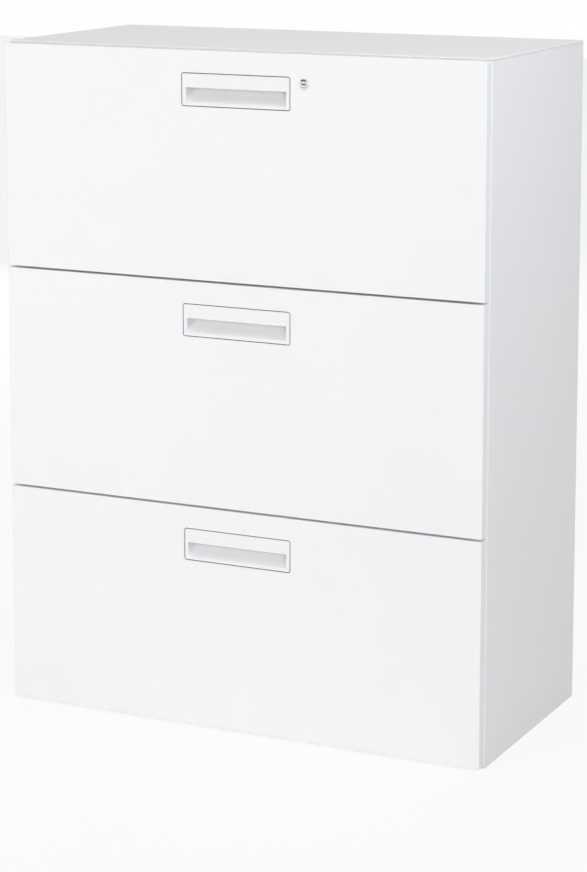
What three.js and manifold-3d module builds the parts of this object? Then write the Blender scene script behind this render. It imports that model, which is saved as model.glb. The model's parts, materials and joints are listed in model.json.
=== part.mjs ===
// A three-drawer lateral filing cabinet in folded sheet steel, in millimetres, +Z up.
// The origin is at the middle of its footprint, on the floor. The drawers open towards -Y.
import * as THREE from 'three';
import { mergeVertices } from 'three/addons/utils/BufferGeometryUtils.js';
import Module from 'manifold-3d';

const wasm = await Module();
wasm.setup();

// Overall size with the drawers shut.
const WIDTH = 800;
const DEPTH = 400;
const HEIGHT = 1050;
const DRAWERS = ['bottom', 'middle', 'top'];

// Sheet, gaps and the number of flats on round shapes.
const SHEET = 1; // carcass and drawer sheet
const BEND = 0.5; // inside radius of the drawers' folds
const FIT = 0.3; // gap between pieces that are welded, screwed or clipped together
const RUN = 0.4; // running gap between sliding or turning pieces
const ARC_STEPS = 3; // flats on each fold
const ROUND_SIDES = 20; // flats on each rod and round hole

// Carcass.
const CARCASS_BEND = 2; // inside radius of the side panels' folds
const FRONT_RETURN = 22; // width of the side panel's fold at the front
const FRONT_HEM = 12; // depth of the hem at the end of that fold
const REAR_RETURN = 15; // width of the side panel's fold at the back
const TOP_RIM = 3; // height of the top panel's edge
const TOP_RIM_WALL = 2; // width of that edge under the top skin
const TOP_SEAM = 0.5; // seam between the top panel's edge and the side panels
const TOP_EDGE_RADIUS = 2;
const TOP_FLANGE = 22; // depth of the top panel's flanges inside the carcass
const TOP_RAIL_DROP = 33; // from the top of the cabinet to the top rail's shelf
const TOP_RAIL_DEPTH = 22;
const FLOOR_SETBACK = 2; // from the carcass's front to the bottom panel and the front base rail
const BASE_HEIGHT = 20;
const BASE_DEPTH = 40;
const BASE_SHEET = 1.5;
const BASE_HOLE = 11; // diameter of the floor bolt holes
const BASE_HOLE_INSET = 45; // from the rail's end to the hole's middle
const UPRIGHT_WIDTH = 22;
const UPRIGHT_DEPTH = 30;
const UPRIGHT_SHEET = 1.2;
const UPRIGHT_REAR_GAP = 18; // from the rear uprights to the back panel
const SLOT_PITCH = 50;
const SLOT_LENGTH = 14;
const SLOT_WIDTH = 5;

// Drawer slides, three nested members on each side.
const SLIDE_THICK = 12.7;
const SLIDE_OUTER_THICK = 10;
const SLIDE_HEIGHT = 45;
const SLIDE_SHEET = 1.2;
const SLIDE_SETBACK = 4; // from the carcass's front to the slides' ends
const SLIDE_REAR_GAP = 24.5; // from the slides' ends to the back panel
const SLIDE_RISE = 75; // from the bottom edge of the drawer's front to the slide's middle

// Drawer fronts.
const FRONT_THICK = 17;
const FRONT_STANDOFF = 1.2; // gap between the fronts and the carcass
const FRONT_INSET = 1.5; // from the cabinet's side to the front's end
const FRONT_MARGIN = 3; // from the cabinet's top and bottom to the nearest front
const FRONT_GAP = 3; // between one front and the next
const FRONT_CORNER = 2;
const FRONT_EDGE_RADIUS = 1.5;
const FRONT_SIDE_LIP = 28;
const FRONT_TOP_LIP = 42;
const FRONT_BOTTOM_LIP = 10;
const LINER_OVERLAP = 4; // the liner's lap over the front's lips
const LINER_SHELF = 6; // fold along the liner's top edge

// Drawer boxes.
const TRAY_CLEARANCE = 5; // between the lowest drawer and the bottom panel
const TRAY_HEIGHT = 266;
const TRAY_HEM = 8;
const TRAY_BACK_GAP = 32; // from the drawer box to the back panel
const BACK_SHELF = 8; // fold along the top edge of the drawer's back
const DIVIDER_X = 120;
const DIVIDER_HEIGHT = 200;
const DIVIDER_FOOT = 25;
const DIVIDER_END_GAP = 15;

// Recessed handles.
const HANDLE_WIDTH = 178;
const HANDLE_HEIGHT = 48;
const HANDLE_DROP = 35; // from the front's top edge to the handle's
const HANDLE_CORNER = 2.5;
const HANDLE_GROOVE = 1.3; // shadow gap between the handle and the front
const HANDLE_PLATE = 21; // height of the flat plate over the finger recess
const HANDLE_RIM = 5.5; // width of the rims left and right of the recess
const HANDLE_LIP = 3; // height of the rim under the recess
const HANDLE_FACE = 2.5; // thickness of the plate and rims
const HANDLE_FLANGE = 5; // lap behind the front's sheet
const HANDLE_WALL = 2;
const HANDLE_DEPTH = 24;
const HANDLE_CURVE = 40; // height of the recess's curve, which ends behind the plate
const HANDLE_RIM_EASE = 4; // length over which the curve leaves the rim
const HANDLE_BACK_EASE = 22; // length over which it meets the rear wall
const HANDLE_BACK_LEAN = 3; // how far it leans forward over that length
const HANDLE_STEPS = 10;

// Latches.
const SHAFT_RADIUS = 3;
const SHAFT_LIFT = 8; // from the handle's top edge to the shaft
const SHAFT_DEPTH = 8.5; // from the front's face to the shaft
const LEVER_WIDTH = 140;
const LEVER_SHEET = 2.5;
const LEVER_REACH = 27; // from the shaft to the lever's lower edge
const LEVER_TAIL = 15; // from the shaft to the top of the lever's tail
const LEVER_TAIL_WIDTH = 24;
const HUB_WALL = 2.2;
const HOOK_SHEET = 3;
const HOOK_GAP = 2; // between the hook and the drawer's side
const HOOK_HEIGHT = 6; // of the hook's arm
const HOOK_DROP = 16; // from the shaft down to the arm's middle
const HOOK_NOSE = 4; // length of the nose
const HOOK_BITE = 3; // how far the nose stands up behind its catch
const HOOK_SLACK = 2; // between the catch and the nose
const CATCH_SHEET = 2;
const CATCH_HEIGHT = 7;
const CATCH_GAP = 1; // between the catch's end and the drawer's side
const EAR_SHEET = 2;
const EAR_X = 150; // from the drawer's middle to the ears that carry the shaft
const EAR_WALL = 4;
const SPRING_SHEET = 0.6;
const SPRING_WIDTH = 20;
const SPRING_FOOT = 7;
const SPRING_SLOPE = 7;
const SPRING_TOP = 24; // from the shaft to the top of the spring

// Lock.
const LOCK_X = 112; // right of the handle's middle
const LOCK_DROP = 44; // below the front's top edge
const LOCK_PROUD = 1;
const LOCK_FLANGE_RADIUS = 7.8;
const LOCK_BODY_RADIUS = 6.6;
const LOCK_BODY_LENGTH = 25;
const PLUG_RADIUS = 4.6;
const PLUG_SINK = 0.3; // the plug's face behind the lock's
const KEYWAY_WIDTH = 6.5;
const KEYWAY_HEIGHT = 1.8;
const KEYWAY_DEPTH = 12;
const TAIL_RADIUS = 3.5;
const TAIL_END = 2; // tail left behind the cam
const CAM_SHEET = 2;
const CAM_WIDTH = 12;
const CAM_CLEARANCE = 1.3; // between the raised cam and the raised lock bar
const CAM_SLOT_GAP = 2; // around the cam in the top rail's shelf
const LOCK_LIFT = 10; // travel of the lock bar
const LOCK_BAR_SHEET = 4;
const LOCK_BAR_WIDTH = 12;
const LOCK_BAR_INSET = 16; // from the side panel to the lock bar
const LOCK_BAR_GAP = 2; // between the front upright and the lock bar
const LOCK_ARM_WIDTH = 6;
const LOCK_ARM_HEIGHT = 10;
const LOCK_ARM_GAP = 4; // between the arm's end and the side panel's hem
const LOCK_TAB_HEIGHT = 12;
const LOCK_TAB_GAP = 3; // between the tabs and the drawer's side
const LOCK_FOOT = 15; // bar below its lowest tab
const STUD_RADIUS = 4;
const STUD_LENGTH = 8;
const STUD_RISE = 200; // from the bottom edge of the drawer's front to its lock stud
const STUD_GAP = 2; // between a raised tab and the stud behind it
const STUD_CLEARANCE = 1.5; // between a lowered tab and the stud's path

// Planes across the cabinet, from the front to the back.
const frontFace = -DEPTH / 2 + LOCK_PROUD;
const frontBack = frontFace + FRONT_THICK;
const linerFace = frontBack + FIT;
const linerBack = linerFace + SHEET;
const carcassFront = frontBack + FRONT_STANDOFF;
const floorFront = carcassFront + FLOOR_SETBACK;
const hemEnd = carcassFront + FRONT_HEM;
const carcassBack = DEPTH / 2;
const backPanelFace = carcassBack - SHEET - FIT - SHEET;
const trayFront = linerBack + FIT;
const trayBack = backPanelFace - TRAY_BACK_GAP;
const slideFront = carcassFront + SLIDE_SETBACK;
const slideBack = backPanelFace - SLIDE_REAR_GAP;
const frontUprightFace = hemEnd + FIT;
const frontUprightBack = frontUprightFace + UPRIGHT_DEPTH;
const rearUprightFace = backPanelFace - UPRIGHT_REAR_GAP - UPRIGHT_DEPTH;

// Planes on the left half, from the side panel to the drawer. The right half mirrors them.
const sideInner = -WIDTH / 2 + SHEET;
const hemInner = -WIDTH / 2 + FRONT_RETURN;
const innerHalf = -sideInner - FIT;
const uprightInner = sideInner + FIT + UPRIGHT_WIDTH;
const slideOuter = uprightInner + FIT;
const slideLink = slideOuter + SLIDE_SHEET + RUN;
const slideInner = slideLink + SLIDE_SHEET + RUN;
const slideEnd = slideOuter + SLIDE_THICK;
const drawerHalf = -slideEnd - FIT;
const frontHalf = WIDTH / 2 - FRONT_INSET;

// Heights in the cabinet.
const carcassTop = HEIGHT - TOP_RIM - TOP_SEAM;
const railShelfTop = HEIGHT - TOP_RAIL_DROP;
const railBottom = railShelfTop - SHEET;
const bottomPanelBase = BASE_HEIGHT + FIT;
const bottomPanelTop = bottomPanelBase + SHEET;
const uprightBase = bottomPanelTop + FIT;
const uprightTop = railBottom - FIT;
const frontPitch = (HEIGHT - 2 * FRONT_MARGIN + FRONT_GAP) / DRAWERS.length;
const frontHeight = frontPitch - FRONT_GAP;
const drawerBase = (index) => FRONT_MARGIN + index * frontPitch;

// Heights in a drawer, from the bottom edge of its front.
const trayBase = bottomPanelTop + TRAY_CLEARANCE - FRONT_MARGIN;
const trayTop = trayBase + TRAY_HEIGHT;
const trayFloor = trayBase + SHEET;
const linerTop = frontHeight - FRONT_TOP_LIP + LINER_OVERLAP;
const linerBase = FRONT_BOTTOM_LIP - LINER_OVERLAP;
const handleTop = frontHeight - HANDLE_DROP;
const handleBase = handleTop - HANDLE_HEIGHT;
const recessTop = handleTop - HANDLE_PLATE;
const recessBase = handleBase + HANDLE_LIP;
const curveTop = recessBase + HANDLE_CURVE;
const recessHalf = HANDLE_WIDTH / 2 - HANDLE_RIM;
const lockHeight = frontHeight - LOCK_DROP;

// The latch's shaft, its hooks and their catches, in the same drawer heights.
const shaftY = frontFace + SHAFT_DEPTH;
const shaftZ = handleTop + SHAFT_LIFT;
const hookInner = drawerHalf + HOOK_GAP;
const hookOuter = hookInner + HOOK_SHEET;
const hookBase = shaftZ - HOOK_DROP - HOOK_HEIGHT / 2;
const hookTop = hookBase + HOOK_HEIGHT;
const catchBase = hookTop + RUN;
const catchBack = frontUprightFace + CATCH_SHEET;
const noseFront = catchBack + HOOK_SLACK;

// The lock's parts along its axis, and the bar that it lifts.
const lockFace = -DEPTH / 2;
const lockBack = frontFace + LOCK_BODY_LENGTH;
const camFace = lockBack + FIT;
const camBack = camFace + CAM_SHEET;
const armBase = railShelfTop + FIT;
const lockAxisZ = drawerBase(DRAWERS.indexOf('top')) + lockHeight;
const camLength = armBase + LOCK_LIFT - lockAxisZ - CAM_CLEARANCE;
const barOuter = WIDTH / 2 - SHEET - LOCK_BAR_INSET;
const barInner = barOuter - LOCK_BAR_SHEET;
const barFront = frontUprightBack + LOCK_BAR_GAP;
const tabBack = barFront + LOCK_BAR_SHEET;
const studY = tabBack + STUD_GAP + STUD_RADIUS;
const tabTop = STUD_RISE - STUD_RADIUS - STUD_CLEARANCE;
const tabBase = tabTop - LOCK_TAB_HEIGHT;

// Finishes.
function finish(color, roughness, metalness) {
  return new THREE.MeshStandardMaterial({ color, roughness, metalness });
}

const whitePaint = finish(0xf1f2f4, 0.45, 0.1);
const zincPlate = finish(0xb9bdc2, 0.4, 0.9);
const nickel = finish(0xc9c9c7, 0.25, 1);
const springSteel = finish(0x8f9499, 0.35, 0.9);
const whitePlastic = finish(0xeff0f2, 0.5, 0);

// Turns a closed geometry into a solid that can be joined and cut.
function solidOf(geometry) {
  geometry.deleteAttribute('normal');
  geometry.deleteAttribute('uv');
  const merged = mergeVertices(geometry);
  return new wasm.Manifold(new wasm.Mesh({
    numProp: 3,
    vertProperties: merged.attributes.position.array,
    triVerts: new Uint32Array(merged.index.array),
  }));
}

function geometryOf(solid) {
  const { vertProperties, triVerts } = solid.getMesh();
  const geometry = new THREE.BufferGeometry();
  geometry.setAttribute('position', new THREE.BufferAttribute(vertProperties, 3));
  geometry.setIndex(new THREE.BufferAttribute(triVerts, 1));
  geometry.computeVertexNormals();
  return geometry;
}

function named(name, solid, material) {
  const mesh = new THREE.Mesh(geometryOf(solid), material);
  mesh.name = name;
  return mesh;
}

// The same piece on the left and, mirrored, on the right.
function pair(name, solid, material) {
  const left = named(`${name}_left`, solid, material);
  const right = named(`${name}_right`, solid, material);
  right.scale.x = -1;
  return [left, right];
}

// A block between its lowest and highest corners.
function block(low, high) {
  const size = high.map((value, axis) => value - low[axis]);
  const geometry = new THREE.BoxGeometry(...size);
  geometry.translate(...low.map((value, axis) => value + size[axis] / 2));
  return solidOf(geometry);
}

// Round rods along X, along Y and upwards.
function rodAcross(radius, y, z, from, to) {
  const geometry = new THREE.CylinderGeometry(radius, radius, to - from, ROUND_SIDES);
  geometry.rotateZ(Math.PI / 2);
  geometry.translate((from + to) / 2, y, z);
  return solidOf(geometry);
}

function rodThrough(radius, x, z, from, to) {
  const geometry = new THREE.CylinderGeometry(radius, radius, to - from, ROUND_SIDES);
  geometry.translate(x, (from + to) / 2, z);
  return solidOf(geometry);
}

function rodUp(radius, x, y, from, to) {
  const geometry = new THREE.CylinderGeometry(radius, radius, to - from, ROUND_SIDES);
  geometry.rotateX(Math.PI / 2);
  geometry.translate(x, y, (from + to) / 2);
  return solidOf(geometry);
}

// The points that round a corner between its two neighbours.
function roundCorner(before, corner, after, radius) {
  const back = before.clone().sub(corner).normalize();
  const onward = after.clone().sub(corner).normalize();
  const half = Math.acos(back.dot(onward)) / 2;
  const middle = back.clone().add(onward).normalize();
  const centre = corner.clone().addScaledVector(middle, radius / Math.sin(half));
  const start = corner.clone().addScaledVector(back, radius / Math.tan(half)).sub(centre).angle();
  const sweep = (Math.PI - 2 * half) * Math.sign(onward.cross(back));
  return Array.from({ length: ARC_STEPS + 1 }, (_, step) => {
    const angle = start + (sweep * step) / ARC_STEPS;
    return new THREE.Vector2(Math.cos(angle), Math.sin(angle)).multiplyScalar(radius).add(centre);
  });
}

function roundedRectangle(left, bottom, right, top, radius) {
  const corners = [[left, bottom], [right, bottom], [right, top], [left, top]];
  const loop = corners.map(([u, v]) => new THREE.Vector2(u, v));
  return new THREE.Shape(loop.flatMap((corner, i) =>
    roundCorner(loop.at(i - 1), corner, loop[(i + 1) % loop.length], radius)));
}

// A line moved sideways, to the left of its own direction.
function movedLeft(line, distance) {
  const along = line.slice(1).map((point, i) => point.clone().sub(line[i]).normalize());
  const left = along.map((direction) => new THREE.Vector2(-direction.y, direction.x));
  return line.map((point, i) => {
    const first = left[Math.max(i - 1, 0)];
    const second = left[Math.min(i, left.length - 1)];
    const both = first.clone().add(second);
    return point.clone().addScaledVector(both, distance / (1 + first.dot(second)));
  });
}

// The section of a folded sheet: one face, and the other face a thickness to its left.
function foldedSheet(points, thickness, bend) {
  const face = points.map(([u, v]) => new THREE.Vector2(u, v));
  const other = movedLeft(face, thickness);
  const folds = face.slice(1, -1).map((corner, i) => {
    const turn = corner.clone().sub(face[i]).cross(face[i + 2].clone().sub(corner));
    return turn > 0 ? [bend + thickness, bend] : [bend, bend + thickness];
  });
  const trace = (line, side) => line.flatMap((point, i) => (i === 0 || i === line.length - 1
    ? [point]
    : roundCorner(line[i - 1], point, line[i + 1], folds[i - 1][side])));
  return new THREE.Shape([...trace(face, 0), ...trace(other, 1).reverse()]);
}

const X = new THREE.Vector3(1, 0, 0);
const Y = new THREE.Vector3(0, 1, 0);
const Z = new THREE.Vector3(0, 0, 1);
const ALONG_X = new THREE.Matrix4().makeBasis(Y, Z, X);
const ALONG_Y = new THREE.Matrix4().makeBasis(X, Z, Y.clone().negate());

function sweep(shape, length) {
  return new THREE.ExtrudeGeometry(shape, {
    depth: length,
    bevelEnabled: false,
    curveSegments: HANDLE_STEPS,
  });
}

// An outline in X and Y swept upwards.
function sweepUp(shape, from, to) {
  const geometry = sweep(shape, to - from);
  geometry.translate(0, 0, from);
  return solidOf(geometry);
}

// An outline in Y and Z swept along X.
function sweepAcross(shape, from, to) {
  const geometry = sweep(shape, to - from);
  geometry.applyMatrix4(ALONG_X);
  geometry.translate(from, 0, 0);
  return solidOf(geometry);
}

// An outline in X and Z swept along Y.
function sweepThrough(shape, from, to) {
  const geometry = sweep(shape, to - from);
  geometry.applyMatrix4(ALONG_Y);
  geometry.translate(0, to, 0);
  return solidOf(geometry);
}

// A plate whose upper edges are rounded. Its lower edges are rounded below z = 0, to be cut off.
function roundedPlate(shape, thickness, radius) {
  return new THREE.ExtrudeGeometry(shape, {
    depth: thickness - radius,
    bevelThickness: radius,
    bevelSize: radius,
    bevelOffset: -radius,
    bevelSegments: ARC_STEPS,
  });
}

// Carcass: side panels folded at the front and back.
function sidePanel() {
  const face = [
    [-WIDTH / 2 + REAR_RETURN, carcassBack],
    [-WIDTH / 2, carcassBack],
    [-WIDTH / 2, carcassFront],
    [hemInner, carcassFront],
    [hemInner, hemEnd],
  ];
  return sweepUp(foldedSheet(face, SHEET, CARCASS_BEND), 0, carcassTop);
}

function backPanel() {
  const half = WIDTH / 2 - SHEET - CARCASS_BEND - FIT;
  return block([-half, backPanelFace, 0], [half, backPanelFace + SHEET, carcassTop]);
}

// The top panel is one pressing: a rounded skin, flanges inside the carcass and the front rail.
function topPanel() {
  const outline = roundedRectangle(
    -WIDTH / 2, carcassFront, WIDTH / 2, carcassBack, CARCASS_BEND + SHEET);
  const plate = roundedPlate(outline, TOP_RIM, TOP_EDGE_RADIUS);
  plate.translate(0, 0, HEIGHT - TOP_RIM);
  const underside = block(
    [-WIDTH, -DEPTH, HEIGHT - TOP_RIM - 2 * TOP_EDGE_RADIUS],
    [WIDTH, DEPTH, HEIGHT - TOP_RIM]);
  const pocket = block(
    [-WIDTH / 2 + TOP_RIM_WALL, carcassFront + TOP_RIM_WALL, HEIGHT - TOP_RIM - SHEET],
    [WIDTH / 2 - TOP_RIM_WALL, carcassBack - TOP_RIM_WALL, HEIGHT - SHEET]);
  const root = HEIGHT - SHEET / 2;
  const flangeBase = HEIGHT - TOP_RIM - TOP_FLANGE;
  const flangeRear = backPanelFace - FIT;
  const sideFlange = (outer) => block(
    [Math.min(outer, outer - Math.sign(outer) * SHEET), frontUprightFace, flangeBase],
    [Math.max(outer, outer - Math.sign(outer) * SHEET), flangeRear, root]);
  const rearFlange = block([-innerHalf, flangeRear - SHEET, flangeBase], [innerHalf, flangeRear, root]);
  const railHalf = -hemInner - FIT;
  const railFace = carcassFront + FIT;
  const railWall = block(
    [-railHalf, railFace, railBottom],
    [railHalf, railFace + SHEET, HEIGHT - TOP_EDGE_RADIUS]);
  const railShelf = block(
    [-railHalf, railFace, railBottom],
    [railHalf, carcassFront + TOP_RAIL_DEPTH, railShelfTop]);
  const camSlot = block(
    [LOCK_X - camLength - CAM_SLOT_GAP, camFace - CAM_SLOT_GAP, railBottom - SHEET],
    [LOCK_X + CAM_WIDTH / 2 + CAM_SLOT_GAP, camBack + CAM_SLOT_GAP, railShelfTop + SHEET]);
  return solidOf(plate)
    .subtract(underside)
    .subtract(pocket)
    .add(sideFlange(innerHalf))
    .add(sideFlange(-innerHalf))
    .add(rearFlange)
    .add(railWall)
    .add(railShelf)
    .subtract(camSlot);
}

// The bottom panel is cut back at its front corners, round the side panels' hems.
function bottomPanel() {
  const rear = backPanelFace - FIT;
  const plate = block([-innerHalf, floorFront, bottomPanelBase], [innerHalf, rear, bottomPanelTop]);
  const notch = (from, to) => block(
    [from, carcassFront - FIT, bottomPanelBase - FIT],
    [to, frontUprightFace, bottomPanelTop + FIT]);
  return plate
    .subtract(notch(-WIDTH / 2, hemInner + FIT))
    .subtract(notch(-hemInner - FIT, WIDTH / 2));
}

// Base rails: channels open at the top, with two floor bolt holes each.
function baseRail(half, front) {
  const rear = front + BASE_DEPTH;
  const section = [[front, BASE_HEIGHT], [front, 0], [rear, 0], [rear, BASE_HEIGHT]];
  const rail = sweepAcross(foldedSheet(section, BASE_SHEET, BEND), -half, half);
  const hole = (x) => rodUp(BASE_HOLE / 2, x, front + BASE_DEPTH / 2, -BASE_SHEET, 2 * BASE_SHEET);
  return rail.subtract(hole(half - BASE_HOLE_INSET)).subtract(hole(BASE_HOLE_INSET - half));
}

// Uprights: slotted channels on the side panels, which carry the slides.
function upright(face) {
  const outer = -innerHalf;
  const section = [
    [outer, face], [uprightInner, face], [uprightInner, face + UPRIGHT_DEPTH], [outer, face + UPRIGHT_DEPTH]];
  let post = sweepUp(foldedSheet(section, UPRIGHT_SHEET, BEND), uprightBase, uprightTop);
  const middle = face + UPRIGHT_DEPTH / 2;
  for (let z = uprightBase + SLOT_PITCH; z < uprightTop - SLOT_LENGTH; z += SLOT_PITCH) {
    post = post.subtract(block(
      [uprightInner - 2 * UPRIGHT_SHEET, middle - SLOT_WIDTH / 2, z - SLOT_LENGTH / 2],
      [uprightInner + UPRIGHT_SHEET, middle + SLOT_WIDTH / 2, z + SLOT_LENGTH / 2]));
  }
  return post;
}

// The front uprights also hold a catch for each drawer's latch.
function catchUpright() {
  const catches = DRAWERS.map((_, index) => block(
    [uprightInner - UPRIGHT_SHEET / 2, frontUprightFace, drawerBase(index) + catchBase],
    [-drawerHalf - CATCH_GAP, catchBack, drawerBase(index) + catchBase + CATCH_HEIGHT]));
  return catches.reduce((post, tab) => post.add(tab), upright(frontUprightFace));
}

// Slide members, for the left side: each nests in the one before.
function slideMember(section) {
  return sweepThrough(foldedSheet(section, SLIDE_SHEET, BEND), slideFront, slideBack);
}

const outerHalfHeight = SLIDE_HEIGHT / 2;
const linkHalfHeight = outerHalfHeight - SLIDE_SHEET - RUN;
const innerHalfHeight = linkHalfHeight - SLIDE_SHEET - RUN;

function outerSlide() {
  const edge = slideOuter + SLIDE_OUTER_THICK;
  const lip = innerHalfHeight + RUN;
  return slideMember([
    [edge, SLIDE_RISE + lip],
    [edge, SLIDE_RISE + outerHalfHeight],
    [slideOuter, SLIDE_RISE + outerHalfHeight],
    [slideOuter, SLIDE_RISE - outerHalfHeight],
    [edge, SLIDE_RISE - outerHalfHeight],
    [edge, SLIDE_RISE - lip],
  ]);
}

function linkSlide() {
  const edge = slideOuter + SLIDE_OUTER_THICK - SLIDE_SHEET - RUN;
  return slideMember([
    [edge, SLIDE_RISE + linkHalfHeight],
    [slideLink, SLIDE_RISE + linkHalfHeight],
    [slideLink, SLIDE_RISE - linkHalfHeight],
    [edge, SLIDE_RISE - linkHalfHeight],
  ]);
}

function innerSlide() {
  return slideMember([
    [slideInner, SLIDE_RISE - innerHalfHeight],
    [slideEnd, SLIDE_RISE - innerHalfHeight],
    [slideEnd, SLIDE_RISE + innerHalfHeight],
    [slideInner, SLIDE_RISE + innerHalfHeight],
  ]);
}

// Room for the lock's barrel, and for the back of the handle.
function lockHole(from, to) {
  return rodThrough(LOCK_BODY_RADIUS + FIT, LOCK_X, lockHeight, from, to);
}

function cupHole(from, to) {
  const half = recessHalf + HANDLE_WALL + FIT;
  return block([-half, from, recessBase - HANDLE_WALL - FIT], [half, to, handleTop + FIT]);
}

// Drawer front: a hollow pan with lips behind, holes for its fittings and ears for the latch's shaft.
function frontPanel(locks) {
  const outline = roundedRectangle(-frontHalf, 0, frontHalf, frontHeight, FRONT_CORNER);
  const slab = roundedPlate(outline, FRONT_THICK, FRONT_EDGE_RADIUS);
  slab.applyMatrix4(ALONG_Y);
  slab.translate(0, frontBack, 0);
  const behind = block([-WIDTH, frontBack, -HEIGHT], [WIDTH, frontBack + 2 * FRONT_EDGE_RADIUS, HEIGHT]);
  const lipFace = frontBack - SHEET;
  const hollow = block(
    [-frontHalf + SHEET, frontFace + SHEET, SHEET],
    [frontHalf - SHEET, lipFace, frontHeight - SHEET]);
  const opening = block(
    [-frontHalf + FRONT_SIDE_LIP, lipFace - SHEET, FRONT_BOTTOM_LIP],
    [frontHalf - FRONT_SIDE_LIP, frontBack + SHEET, frontHeight - FRONT_TOP_LIP]);
  const handleHole = sweepThrough(roundedRectangle(
    -HANDLE_WIDTH / 2 - HANDLE_GROOVE, handleBase - HANDLE_GROOVE,
    HANDLE_WIDTH / 2 + HANDLE_GROOVE, handleTop + HANDLE_GROOVE,
    HANDLE_CORNER + HANDLE_GROOVE), frontFace - SHEET, frontFace + 2 * SHEET);
  const hookSlot = (low, high) => block(
    [low - HOOK_GAP, lipFace - SHEET, hookBase - HOOK_GAP],
    [high + HOOK_GAP, frontBack + SHEET, hookTop + HOOK_GAP]);
  const earHalf = SHAFT_RADIUS + RUN + EAR_WALL;
  const ear = (x) => block(
    [x - EAR_SHEET / 2, shaftY - earHalf + RUN, shaftZ - earHalf],
    [x + EAR_SHEET / 2, frontBack - SHEET / 2, shaftZ + earHalf]);
  const shaftHole = rodAcross(SHAFT_RADIUS + RUN, shaftY, shaftZ, -EAR_X - EAR_SHEET, EAR_X + EAR_SHEET);
  const pan = solidOf(slab)
    .subtract(behind)
    .subtract(hollow)
    .subtract(opening)
    .subtract(handleHole)
    .subtract(cupHole(lipFace - SHEET, frontBack + SHEET))
    .subtract(hookSlot(hookInner, hookOuter))
    .subtract(hookSlot(-hookOuter, -hookInner))
    .add(ear(EAR_X))
    .add(ear(-EAR_X))
    .subtract(shaftHole);
  return locks ? pan.subtract(lockHole(frontFace - SHEET, frontBack + SHEET)) : pan;
}

// Liner: closes the back of the front and makes the drawer box's front wall.
function frontLiner(locks) {
  const section = [[linerFace + LINER_SHELF, linerTop], [linerFace, linerTop], [linerFace, linerBase]];
  const sheet = sweepAcross(foldedSheet(section, SHEET, BEND), -drawerHalf, drawerHalf);
  const liner = sheet.subtract(cupHole(linerFace - SHEET, linerBack + LINER_SHELF));
  return locks ? liner.subtract(lockHole(linerFace - SHEET, lockBack)) : liner;
}

// Drawer box: sides and floor folded from one sheet, with the lock's stud on its right side.
function drawerTray() {
  const section = [
    [-drawerHalf + TRAY_HEM, trayTop],
    [-drawerHalf, trayTop],
    [-drawerHalf, trayBase],
    [drawerHalf, trayBase],
    [drawerHalf, trayTop],
    [drawerHalf - TRAY_HEM, trayTop],
  ];
  const tray = sweepThrough(foldedSheet(section, SHEET, BEND), trayFront, trayBack);
  return tray.add(rodAcross(STUD_RADIUS, studY, STUD_RISE, drawerHalf - SHEET / 2, drawerHalf + STUD_LENGTH));
}

const drawerBackRear = trayBack - FIT;
const boxHalf = drawerHalf - SHEET - FIT;

function drawerBack() {
  const top = trayTop - SHEET - FIT;
  const section = [
    [drawerBackRear, trayFloor + FIT],
    [drawerBackRear, top],
    [drawerBackRear - BACK_SHELF, top],
  ];
  return sweepAcross(foldedSheet(section, SHEET, BEND), -boxHalf, boxHalf);
}

function divider() {
  const base = trayFloor + FIT;
  const section = [[DIVIDER_X, base + DIVIDER_HEIGHT], [DIVIDER_X, base], [DIVIDER_X + DIVIDER_FOOT, base]];
  const front = linerBack + DIVIDER_END_GAP;
  const rear = drawerBackRear - BACK_SHELF - DIVIDER_END_GAP;
  return sweepThrough(foldedSheet(section, SHEET, BEND), front, rear);
}

// The curve of the finger recess, from its lower rim back and up to its rear wall.
function scoop(shape, startY, startZ, endY, endZ) {
  shape.bezierCurveTo(
    startY, startZ + HANDLE_RIM_EASE,
    endY - HANDLE_BACK_LEAN, endZ - HANDLE_BACK_EASE,
    endY, endZ);
}

// Handle: a moulded plate with a finger recess, open at the top for the latch's lever.
function handle() {
  const plateBack = frontFace + HANDLE_FACE;
  const recessBack = frontFace + HANDLE_DEPTH;
  const plate = sweepThrough(roundedRectangle(
    -HANDLE_WIDTH / 2, handleBase, HANDLE_WIDTH / 2, handleTop, HANDLE_CORNER), frontFace, plateBack);
  const flange = block(
    [-HANDLE_WIDTH / 2 - HANDLE_FLANGE, frontFace + SHEET + FIT, handleBase - HANDLE_FLANGE],
    [HANDLE_WIDTH / 2 + HANDLE_FLANGE, plateBack, handleTop + HANDLE_FLANGE]);
  const cup = new THREE.Shape();
  cup.moveTo(plateBack - FIT, recessBase - HANDLE_WALL);
  cup.lineTo(plateBack, recessBase - HANDLE_WALL);
  scoop(cup, plateBack, recessBase - HANDLE_WALL, recessBack + HANDLE_WALL, curveTop);
  cup.lineTo(recessBack + HANDLE_WALL, handleTop);
  cup.lineTo(plateBack - FIT, handleTop);
  const recess = new THREE.Shape();
  recess.moveTo(frontFace - SHEET, recessBase);
  recess.lineTo(frontFace, recessBase);
  scoop(recess, frontFace, recessBase, recessBack, curveTop);
  recess.lineTo(recessBack, handleTop + HANDLE_WALL);
  recess.lineTo(plateBack, handleTop + HANDLE_WALL);
  recess.lineTo(plateBack, recessTop);
  recess.lineTo(frontFace - SHEET, recessTop);
  return plate.add(flange)
    .add(sweepAcross(cup, -recessHalf - HANDLE_WALL, recessHalf + HANDLE_WALL))
    .subtract(sweepAcross(recess, -recessHalf, recessHalf));
}

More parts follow.
